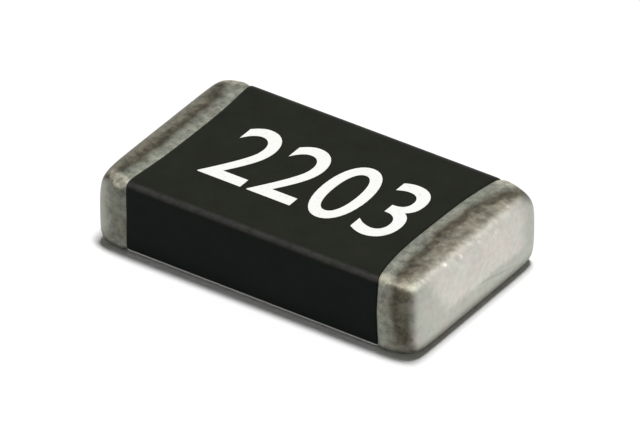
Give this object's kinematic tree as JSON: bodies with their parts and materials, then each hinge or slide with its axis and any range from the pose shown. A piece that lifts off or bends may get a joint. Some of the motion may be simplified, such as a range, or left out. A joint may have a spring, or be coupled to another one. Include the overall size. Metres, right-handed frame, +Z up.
{
  "type": "chip resistor",
  "caption": "Surface-mount chip resistor: flat black body with a rounded tin-plated metal cap over each end.",
  "frame": {"origin": "middle of the underside, in the plane of the two caps' lowest faces, where the chip rests on a board", "axes": "+X along the chip from cap to cap, +Y across it, +Z up out of the marked top face"},
  "size_m": [0.002, 0.0012, 0.0005],
  "materials": {
    "alumina": "matte",
    "resistor_paste": "satin",
    "overcoat_glass": "gloss",
    "black_epoxy": "matte",
    "silver_paste": "matte",
    "nickel": "satin",
    "matte_tin": "satin"
  },
  "bodies": {
    "root": {"ceramic_board": "alumina", "resistive_film": "resistor_paste", "glass_overcoat": "overcoat_glass", "black_overcoat": "black_epoxy", "top_electrode_left": "silver_paste", "bottom_electrode_left": "silver_paste", "silver_termination_left": "silver_paste", "nickel_barrier_left": "nickel", "tin_cap_left": "matte_tin", "top_electrode_right": "silver_paste", "bottom_electrode_right": "silver_paste", "silver_termination_right": "silver_paste", "nickel_barrier_right": "nickel", "tin_cap_right": "matte_tin"}
  },
  "joints": []
}
